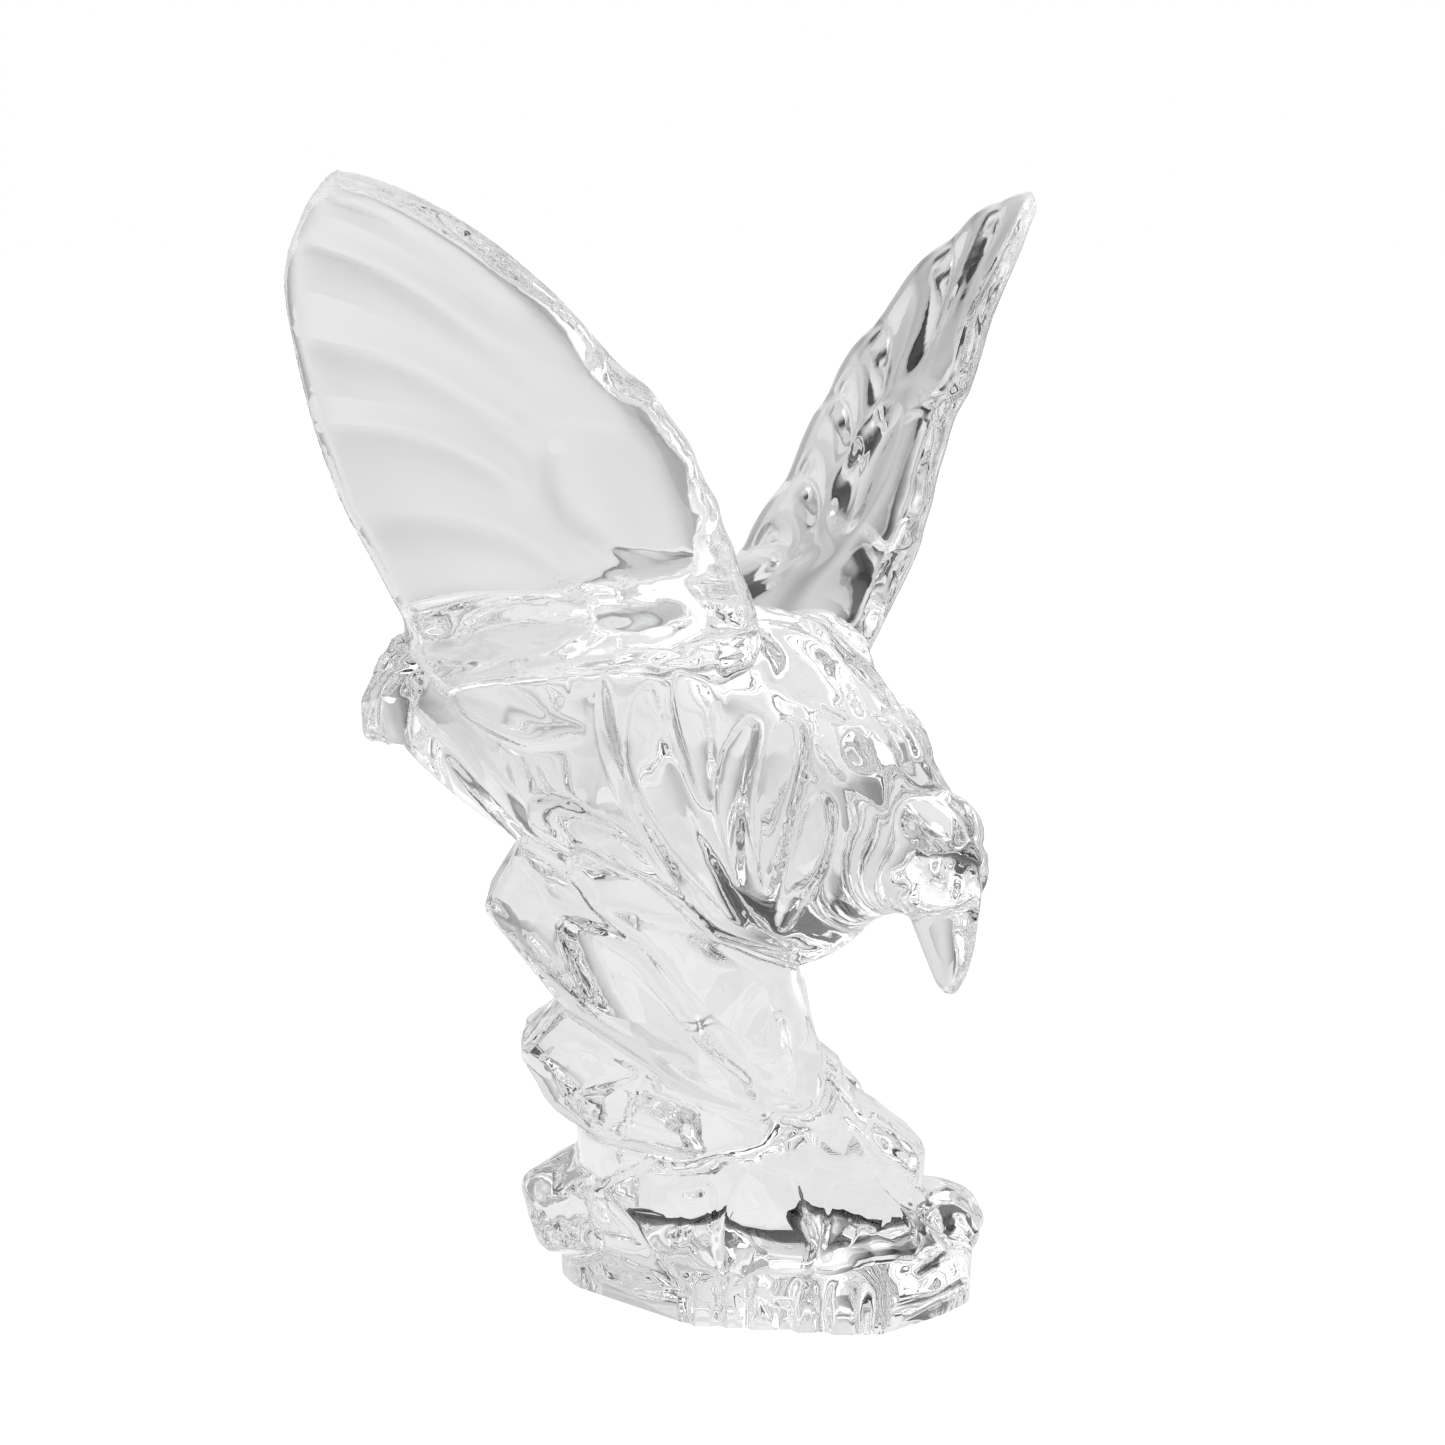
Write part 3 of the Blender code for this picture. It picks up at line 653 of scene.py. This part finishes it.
shells = bpy.data.objects.new("shells", bpy.data.meshes.new("shells"))
crystal.to_mesh(shells.data)
crystal.free()
bpy.context.scene.collection.objects.link(shells)
fuse = shells.modifiers.new("Fuse", "REMESH")
fuse.mode = "VOXEL"
fuse.voxel_size = SKIN_PITCH
polish = shells.modifiers.new("Fire polish", "SMOOTH")
polish.factor = POLISH
polish.iterations = POLISH_PASSES
bpy.context.view_layer.update()
skin = shells.evaluated_get(bpy.context.evaluated_depsgraph_get()).data
thin = shells.modifiers.new("Fewer faces", "DECIMATE")
thin.ratio = MOST_TRIANGLES / sum(len(face.vertices) - 2 for face in skin.polygons)
bpy.context.view_layer.update()
eagle_mesh = bpy.data.meshes.new_from_object(shells.evaluated_get(bpy.context.evaluated_depsgraph_get()))
bpy.data.objects.remove(shells)

casting = bmesh.new()
casting.from_mesh(eagle_mesh)
grind = bmesh.ops.bisect_plane(
    casting, geom=casting.verts[:] + casting.edges[:] + casting.faces[:], plane_co=(0, 0, GROUND_OFF),
    plane_no=(0, 0, -1), clear_outer=True)
rim_edges = [item for item in grind["geom_cut"] if isinstance(item, bmesh.types.BMEdge)]
bmesh.ops.holes_fill(casting, edges=rim_edges, sides=0)
bmesh.ops.triangulate(casting, faces=[face for face in casting.faces if len(face.verts) > 4])
for lowest, passes in BIRD_POLISH:
    for _ in range(passes):
        softened = [vert for vert in casting.verts if vert.co.z > lowest]
        bmesh.ops.smooth_vert(
            casting, verts=softened, factor=POLISH, use_axis_x=True, use_axis_y=True, use_axis_z=True)
to_rock = Matrix.Rotation(-ROCK_TURN, 3, "Z")
to_flow = Matrix.Diagonal([1 / width for width in FLOW_WIDTHS])
to_flow = to_flow @ Matrix.Rotation(FLOW_SLOPE, 3, "Y") @ to_rock
casting.normal_update()
for vert in casting.verts:
    rocky = smooth_step(*ROCK_TOP, vert.co.z)
    wave = noise.noise(vert.co * LONG_WAVES) + 0.3 * noise.noise(vert.co * SHORT_WAVES)
    push = wave * (BIRD_WAVE + (ROCK_WAVE - BIRD_WAVE) * rocky)
    push *= 1 - 0.7 * smooth_step(*WINGS_BEGIN, vert.co.z)
    push += FLOW_WAVE * rocky * noise.noise(to_flow @ vert.co)
    push += MOUND_WAVE * smooth_step(*MOUND_TOP, vert.co.z) * noise.noise(vert.co * MOUND_WAVES)
    spot = to_rock @ vert.co * 1000
    if spot.y < -5 and vert.normal.dot(towards_camera) > 0.2:
        inside = math.inf
        for k in range(3):
            (a, b), (c, d) = HOLLOW[k], HOLLOW[(k + 1) % 3]
            past_side = (c - a) * (spot.z - b) - (d - b) * (spot.x - a)
            inside = min(inside, -past_side / math.hypot(c - a, d - b))
        push -= HOLLOW_DEPTH * smooth_step(0, HOLLOW_SLOPE, inside)
    vert.co += vert.normal * push * smooth_step(0, STILL_FOOT, vert.co.z)
low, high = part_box("crystal_eagle")
own_low = Vector([min(vert.co[k] for vert in casting.verts) for k in range(3)])
own_high = Vector([max(vert.co[k] for vert in casting.verts) for k in range(3)])
for vert in casting.verts:
    for k in range(3):
        share = (vert.co[k] - own_low[k]) / (own_high[k] - own_low[k])
        vert.co[k] = low[k] + share * (high[k] - low[k])
for face in casting.faces:
    face.smooth = True
casting.to_mesh(eagle_mesh)
casting.free()
eagle = bpy.data.objects.new("eagle", eagle_mesh)
bpy.context.scene.collection.objects.link(eagle)

# Fire polish leaves faint ripples in the skin
RIPPLE_WIDTH = 0.004
RIPPLE_HEIGHT = 0.000012

clear_crystal = bpy.data.materials.new("Clear crystal")
clear_crystal.use_nodes = True
shader = clear_crystal.node_tree.nodes["Principled BSDF"]
shader.inputs["Base Color"].default_value = (0.985, 0.99, 0.99, 1)
shader.inputs["Roughness"].default_value = 0.0
shader.inputs["IOR"].default_value = 1.53
shader.inputs["Transmission Weight"].default_value = 1
tree = clear_crystal.node_tree
way = tree.nodes.new("ShaderNodeTexCoord")
ripples = linked(tree, "ShaderNodeTexNoise", way.outputs["Object"], "Vector")
ripples.inputs["Scale"].default_value = 1 / RIPPLE_WIDTH
ripples.inputs["Detail"].default_value = 1
skin_bump = linked(tree, "ShaderNodeBump", ripples.outputs["Fac"], "Height")
skin_bump.inputs["Distance"].default_value = RIPPLE_HEIGHT
tree.links.new(skin_bump.outputs["Normal"], shader.inputs["Normal"])
eagle.data.materials.clear()
eagle.data.materials.append(clear_crystal)
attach(eagle, "root")
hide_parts("crystal_eagle")
